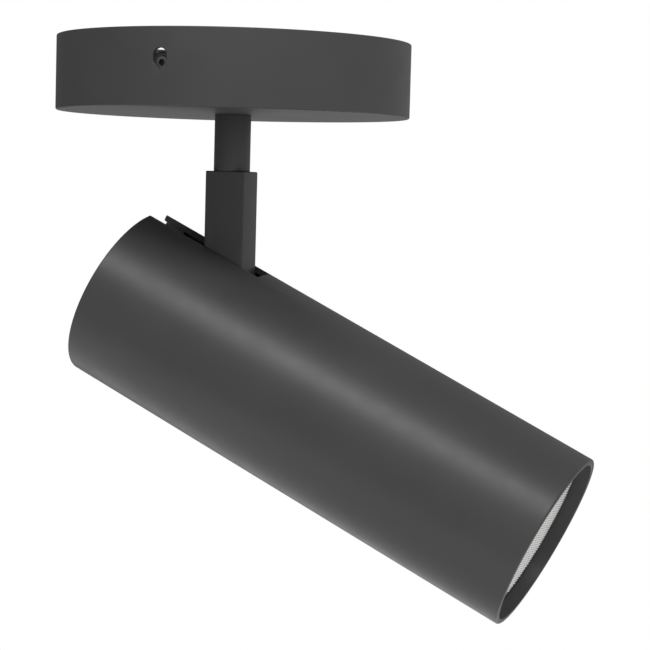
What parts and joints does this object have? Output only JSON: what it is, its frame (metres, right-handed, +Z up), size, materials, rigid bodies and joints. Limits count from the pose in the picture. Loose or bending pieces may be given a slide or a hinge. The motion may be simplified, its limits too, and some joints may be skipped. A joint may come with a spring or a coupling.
{
  "type": "surface mounted ceiling spotlight",
  "caption": "Black ceiling spotlight: a round cup on the ceiling, a short stem with a square knuckle, and a tube head that swivels and tilts.",
  "frame": {"origin": "middle of the ceiling plane, on the bracket's upper face and level with the cup's open rim", "axes": "+Z up into the ceiling; the head points towards +X and down; the tilt pivot lies along Y"},
  "size_m": [0.1817, 0.1164, 0.1841],
  "materials": {
    "black_coat": "fine satin black powder coat",
    "zinc_steel": "bright zinc plated steel",
    "black_steel": "black passivated steel",
    "brass": "turned brass",
    "terminal_plastic": "white moulded polyamide",
    "fibre": "red vulcanised fibre",
    "aluminium": "milled aluminium",
    "ceramic": "glazed steatite ceramic",
    "lamp_white": "white moulded lamp housing",
    "lamp_lens": "clear moulded lens",
    "ring_plastic": "black moulded plastic",
    "prismatic_glass": "pale glass with a fine prismatic hatch",
    "silicone": "dark silicone"
  },
  "bodies": {
    "ceiling": {"bracket": "black_steel", "weld_nuts": "black_steel", "grub_screws": "black_steel", "terminal_block": "terminal_plastic", "terminal_screws": "brass", "block_screw": "zinc_steel", "earth_screw": "brass", "earth_washer": "brass", "canopy": "black_coat", "stop_peg": "zinc_steel"},
    "swivel": {"stem": "black_coat", "nipple": "zinc_steel", "fibre_washer": "fibre", "stop_washer": "zinc_steel", "lock_nut": "brass", "knuckle": "black_coat"},
    "head": {"tube": "black_coat", "rear_cap": "black_coat", "carrier": "aluminium", "pivot_bolt": "zinc_steel", "pivot_nut": "zinc_steel", "friction_washers": "fibre", "lampholder": "ceramic", "holder_contacts": "brass", "holder_screws": "zinc_steel", "lamp_body": "lamp_white", "lamp_lens": "lamp_lens", "lamp_pins": "brass", "lens_ring": "ring_plastic", "front_glass": "prismatic_glass", "glass_gasket": "silicone"}
  },
  "joints": [
    {"name": "swivel_turn", "type": "hinge", "parent": "ceiling", "child": "swivel", "pos_m": [0, 0, -0.0242], "axis": [0, 0, 1], "range_deg": [-165, 165]},
    {"name": "head_tilt", "type": "hinge", "parent": "swivel", "child": "head", "pos_m": [0, 0, -0.1034], "axis": [0, 1, 0], "range_deg": [-11, 64]}
  ]
}
